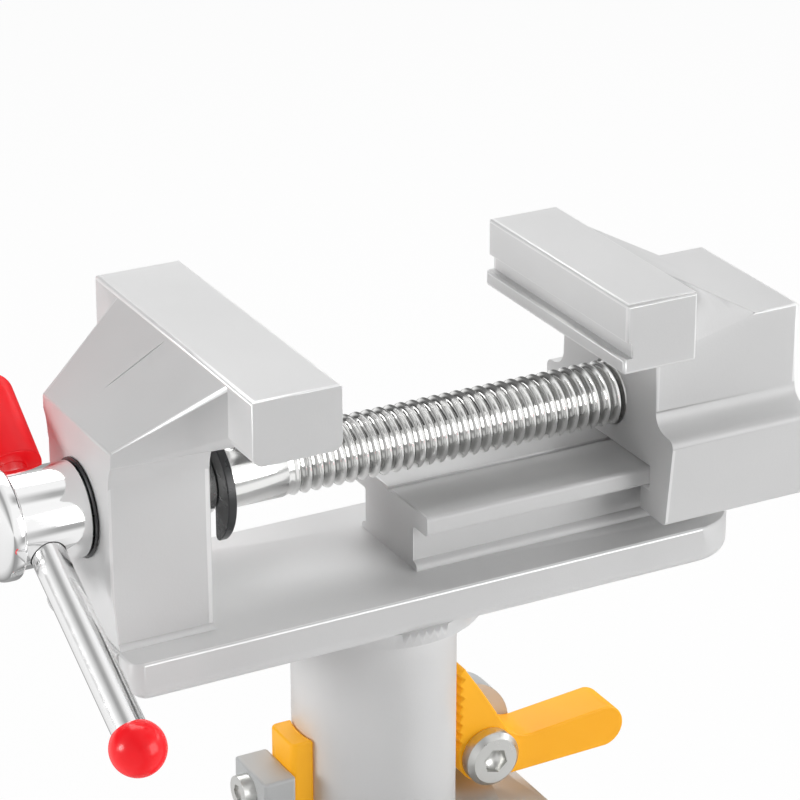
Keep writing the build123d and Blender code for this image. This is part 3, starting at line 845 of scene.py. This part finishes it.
# %% Drill
def drill(piece, centre, direction, radius, length, sides=64):
    """Drill or broach a hole whose middle lies at the centre, and keep only the finished mesh."""
    tool_shape = bmesh.new()
    reach = Vector(direction).normalized() * length / 2
    outline = ((0, 0), (0, radius), (length, radius), (length, 0))
    lathe(tool_shape, Vector(centre) - reach, direction, outline, sides)
    tool = add_object("drill", mesh_of("drill", tool_shape))
    cut = piece.modifiers.new("drill", "BOOLEAN")
    cut.operation = "DIFFERENCE"
    cut.solver = "EXACT"
    cut.object = tool
    graph = bpy.context.evaluated_depsgraph_get()
    drilled = bpy.data.meshes.new_from_object(piece.evaluated_get(graph))
    piece.modifiers.remove(cut)
    piece.data = drilled
    bpy.data.objects.remove(tool)
    drilled.set_sharp_from_angle(angle=math.radians(SHARP_DEGREES))


# %% Hub
bar_low, bar_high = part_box("tommy_bar")
bar_direction = -Vector(joint_named("bar_slide")["axis"]).normalized()
bar_centre = Vector(((bar_low.x + bar_high.x) / 2, 0, screw_origin.z))
bar_radius = (bar_high.x - bar_low.x) / 2
bar_slack = 0.08 * MM
through_length = 20 * MM

drum_radius = 4.3 * MM
rim_radius = (hub_high.z - hub_low.z) / 2
rim_start = -35.4 * MM
dome_start = -36.5 * MM
broken_edge = 0.25 * MM
rim_round = 0.35 * MM
dome_shoulder = 0.15 * MM
slight = 0.02 * MM
hub_profile = [(hub_high.x, 0), (hub_high.x, drum_radius - broken_edge)]
hub_profile += quarter_round(hub_profile[-1], (hub_high.x - broken_edge, drum_radius), 4, False)
hub_profile += [(rim_start + slight, drum_radius), (rim_start, drum_radius + slight)]
hub_profile += [(rim_start, rim_radius - rim_round)]
hub_profile += quarter_round(hub_profile[-1], (rim_start - rim_round, rim_radius), 4, False)
hub_profile += [(dome_start + dome_shoulder, rim_radius)]
hub_profile += quarter_round((dome_start, rim_radius - slight), (hub_low.x, 0), steps=24)
hub_piece = new_turned(
    "turned_hub", "screw_hub", hub_chrome, screw_origin, x_axis, hub_profile, segments=128,
)
drill(hub_piece, bar_centre, bar_direction, bar_radius + bar_slack, through_length)
print("hub faces", len(hub_piece.data.polygons))

# %% [markdown]
# ## Handle
# The bar is plain drawn rod with broken edges. Its caps are plastic pressed over its ends: a ball
# cut flat where the bar goes in, and a bullet-shaped grip with a soft crown. The mouth of each
# cap turns in along the bar, so that the cap looks fitted on it.

# %% Bar
def rod(name, node, centre, direction, radius):
    """A plain rod with broken edges."""
    edge = 0.1 * MM
    near, far = span_along(node, centre, direction)
    profile = [(near, 0), (near, radius - edge), (near + edge, radius)]
    profile += [(far - edge, radius), (far, radius - edge), (far, 0)]
    return new_turned(name, node, bar_chrome, centre, direction, profile)


handle_bar = rod("handle_bar", "tommy_bar", bar_centre, bar_direction, bar_radius)
print("handle bar faces", len(handle_bar.data.polygons))

# %% Ball
def cap_mouth(opening, inward, bore):
    """The first points of a cap's profile, from inside it to its slightly wider opening."""
    return [(opening + inward, bore), (opening, bore + 0.05 * MM)]


ball_radius = 2.45 * MM
neck_round = 0.12 * MM
ball_steps = 40
ball_from, ball_to = span_along("bar_ball", bar_centre, bar_direction)
ball_middle = ball_to - ball_radius
neck_angle = math.acos((ball_middle - ball_from) / ball_radius)
neck_radius = ball_radius * math.sin(neck_angle)
ball_profile = cap_mouth(ball_from, 1.2 * MM, bar_radius)
ball_profile += [(ball_from, neck_radius - neck_round)]
for step in range(1, ball_steps + 1):
    angle = neck_angle + (math.pi - neck_angle) * step / ball_steps
    ball_profile.append((ball_middle - ball_radius * math.cos(angle), ball_radius * math.sin(angle)))
new_turned("ball_cap", "bar_ball", red_plastic, bar_centre, bar_direction, ball_profile)
print("ball", round(2 * ball_radius / MM, 2), "mm across")

# %% Grip
grip_from, grip_to = span_along("bar_grip", bar_centre, bar_direction)
grip_near_radius = 3.0 * MM
grip_far_radius = 3.35 * MM
near_round = 0.15 * MM
crown_length = 1.35 * MM
crown_end = (grip_from + 0.1 * MM, grip_far_radius - 1.3 * MM)
grip_profile = cap_mouth(grip_to, -1.5 * MM, bar_radius)
grip_profile += [(grip_to, grip_near_radius - near_round)]
grip_profile += quarter_round(grip_profile[-1], (grip_to - near_round, grip_near_radius), 3, False)
grip_profile += [(grip_from + crown_length, grip_far_radius)]
grip_profile += quarter_round(grip_profile[-1], crown_end, 8)
grip_profile += [(grip_from, 0.8 * MM), (grip_from, 0)]
new_turned("bullet_grip", "bar_grip", red_plastic, bar_centre, bar_direction, grip_profile)
print("grip", round((grip_to - grip_from) / MM, 2), "mm long")

# %% [markdown]
# ## Washer
# A thin black washer takes the thrust between the hub and the casting. It is punched from sheet,
# so its rim is only slightly broken.

# %% Thrust washer
washer_low, washer_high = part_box("thrust_washer")
washer_radius = (washer_high.z - washer_low.z) / 2
washer_bore = shank_radius + 0.03 * MM
washer_edge = 0.1 * MM
new_turned("black_washer", "thrust_washer", black_steel, screw_origin, x_axis, (
    (washer_low.x, washer_bore), (washer_low.x, washer_radius - washer_edge),
    (washer_low.x + washer_edge, washer_radius), (washer_high.x - washer_edge, washer_radius),
    (washer_high.x, washer_radius - washer_edge), (washer_high.x, washer_bore),
    (washer_low.x, washer_bore),
))
print("washer", round((washer_high.x - washer_low.x) / MM, 2), "mm thick")

# %% [markdown]
# ## Clamp screw
# The screw of the table clamp has a drilled head for its bar. The head is turned and drilled
# before the thread is made, and the two stay separate pieces, because a boolean is only sure of
# its result on a closed, simple shape.

# %% Sizes of the clamp screw
clamp_low, clamp_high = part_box("clamp_screw")
pad_low, pad_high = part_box("clamp_pad")
clamp_origin = Vector((0, 0, 0))
clamp_axis = Vector((0, 0, 1))
clamp_head_radius = (clamp_high.x - clamp_low.x) / 2
clamp_crest = 4.0 * MM
clamp_root = clamp_crest - 0.68 * MM
clamp_core = 3.5 * MM
clamp_spigot = 2.5 * MM
clamp_pitch = 1.25 * MM
head_top = -86.5 * MM
thread_top = -35.5 * MM
thread_bottom = -84.5 * MM
spindle_finish = thread_finish_with_painted_shade(
    "spindle thread", clamp_origin, (1, 1, 0), clamp_root, clamp_crest,
)
print("clamp screw", round(2 * clamp_crest / MM, 2), "mm thick")

# %% Head of the clamp screw
low_edge = 0.8 * MM
top_edge = 0.4 * MM
stub_end = thread_bottom + 0.01 * MM
head_profile = [(clamp_low.z, 0), (clamp_low.z, clamp_head_radius - low_edge)]
head_profile += quarter_round(
    head_profile[-1], (clamp_low.z + low_edge, clamp_head_radius), 4, False,
)
head_profile += [(head_top - top_edge, clamp_head_radius), (head_top, clamp_head_radius - top_edge)]
head_profile += [(head_top, clamp_core), (stub_end, clamp_core), (stub_end, 0)]
clamp_head = new_turned(
    "clamp_spindle_screw", "clamp_screw", spindle_finish, clamp_origin, clamp_axis, head_profile,
)
clamp_bar_direction = Vector(joint_named("clamp_bar_slide")["axis"]).normalized()
clamp_bar_low, clamp_bar_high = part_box("clamp_bar")
clamp_bar_centre = Vector((0, 0, (clamp_bar_low.z + clamp_bar_high.z) / 2))
clamp_bar_radius = (clamp_bar_high.z - clamp_bar_low.z) / 2
drill(
    clamp_head, clamp_bar_centre, clamp_bar_direction, clamp_bar_radius + bar_slack, through_length,
)
print("clamp screw bar at", round(clamp_bar_centre.z, 4))

# %% Thread of the clamp screw
core_top = thread_top - 0.1 * MM
neck_end = pad_low.z - 0.1 * MM
neck_end_radius = clamp_crest - 0.9 * MM
spindle_shape = bmesh.new()
cut_thread(
    spindle_shape, clamp_origin, clamp_axis, thread_bottom, thread_top,
    clamp_crest, clamp_root, clamp_pitch,
)
lathe(spindle_shape, clamp_origin, clamp_axis, (
    (core_top, 0), (core_top, clamp_core), (neck_end, neck_end_radius), (neck_end, clamp_spigot),
    (clamp_high.z, clamp_spigot), (clamp_high.z, 0),
))
spindle_piece = finish_piece(
    "clamp_spindle_thread", spindle_shape, spindle_finish, "clamp_screw", sharp_degrees=60,
)
print("clamp screw faces", len(spindle_piece.data.polygons))

# %% [markdown]
# ## Clamp bar, caps and pad
# The clamp's bar slides in its screw as the handle bar does in the hub. Its caps are short
# sleeves with a domed end. The pad is a turned dish that swivels on the screw's spigot.

# %% Clamp bar and caps
rod("clamp_handle_bar", "clamp_bar", clamp_bar_centre, clamp_bar_direction, clamp_bar_radius)
cap_radius = 3.3 * MM
cap_crown = 1.9 * MM
cap_rim = 0.25 * MM


def sleeve_cap(node, direction):
    """A pressed-on cap of the clamp's bar: a sleeve with a softly domed end."""
    low, high = span_along(node, clamp_bar_centre, direction)
    profile = cap_mouth(low, 2 * MM, clamp_bar_radius)
    profile += [(low, cap_radius - cap_rim)]
    profile += quarter_round(profile[-1], (low + cap_rim, cap_radius), 3, False)
    profile += [(high - cap_crown, cap_radius)]
    profile += quarter_round(profile[-1], (high, cap_radius - cap_crown), 10)
    profile += [(high, 0)]
    return new_turned(node + "_dipped", node, red_plastic, clamp_bar_centre, direction, profile)


for node, sign in (("clamp_bar_cap_a", 1), ("clamp_bar_cap_b", -1)):
    cap = sleeve_cap(node, clamp_bar_direction * sign)
    print(cap.name, "faces", len(cap.data.polygons))

# %% Pressure pad
pad_radius = (pad_high.x - pad_low.x) / 2
pad_bore = clamp_spigot + bar_slack
bore_depth = 3 * MM
pad_edge = 0.3 * MM
rim_bottom = pad_high.z - 1.8 * MM
neck_top = pad_low.z + 0.8 * MM
neck_top_radius = 5.9 * MM
mouth_radius = 5.1 * MM
pad_profile = [(pad_high.z, 0), (pad_high.z, pad_radius - pad_edge)]
pad_profile += [(pad_high.z - pad_edge, pad_radius), (rim_bottom, pad_radius)]
pad_profile += [(pad_high.z - 2.5 * MM, pad_radius - 0.5 * MM)]
pad_profile += [(pad_high.z - 3.0 * MM, pad_radius - 1.4 * MM), (neck_top, neck_top_radius)]
pad_profile += [(pad_low.z + 0.2 * MM, 5.6 * MM), (pad_low.z, mouth_radius)]
pad_profile += [(pad_low.z, pad_bore), (pad_low.z + bore_depth, pad_bore)]
new_turned("pressure_pad", "clamp_pad", clamp_grey, clamp_origin, clamp_axis, pad_profile)
print("pad radius", round(pad_radius / MM, 2), "mm")

# %% [markdown]
# ## Small screws
# The lock turns on a cap screw, and two more hold the fixed pad. All have a hexagon socket,
# broached into the head: a drill with six sides does the same here. Half of the drill stands
# outside the head, so the sockets are half as deep as it is long.

# %% Small screws
small_round = 0.2 * MM
lock_screw = soft_copy("cam_screw", "lock_screw", zinc_plate, small_round, share=short_edge_share)
cam_low, cam_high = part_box("cam_screw")
socket_centre = Vector(((cam_low.x + cam_high.x) / 2, cam_low.y, (cam_low.z + cam_high.z) / 2))
drill(lock_screw, socket_centre, (0, 1, 0), radius=1.3 * MM, length=2.0 * MM, sides=6)

pad_screws = soft_copy(
    "pad_screws", "pad_hex_screws", zinc_plate, small_round, share=short_edge_share,
)
screws_low, screws_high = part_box("pad_screws")
head_radius = (screws_high.y - screws_low.y) / 2
for height in (screws_low.z + head_radius, screws_high.z - head_radius):
    socket_centre = Vector((screws_low.x, 0, height))
    drill(pad_screws, socket_centre, (1, 0, 0), radius=0.85 * MM, length=1.4 * MM, sides=6)
print("pad screws", round((screws_high.z - screws_low.z) / MM, 2), "mm from end to end")

# %% [markdown]
# ## Casting line
# The roof of the fixed jaw keeps a trace of its mould: a hair-thin raised line that runs down the
# slope. It is a spindle, sunk by half in the roof, and thin enough to be seen only in raking
# light.

# %% Casting line
line_start = Vector((-19.9, 0.5, 63.75)) * MM
line_end = Vector((-25.6, 1.3, 59.96)) * MM
line_length = (line_end - line_start).length
line_radius = 0.12 * MM
line_profile = (
    (0, 0), (0.8 * MM, 0.8 * line_radius), (line_length / 2, line_radius),
    (line_length - 1.2 * MM, 0.6 * line_radius), (line_length, 0),
)
line_shape = bmesh.new()
lathe(line_shape, line_start, line_end - line_start, line_profile, segments=16)
casting_line = add_object("casting_line", mesh_of("casting_line", line_shape))
casting_line.data.materials.append(cast_silver)
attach(casting_line, body_of("vise_body"))
print("casting line", round(line_length / MM, 1), "mm long")
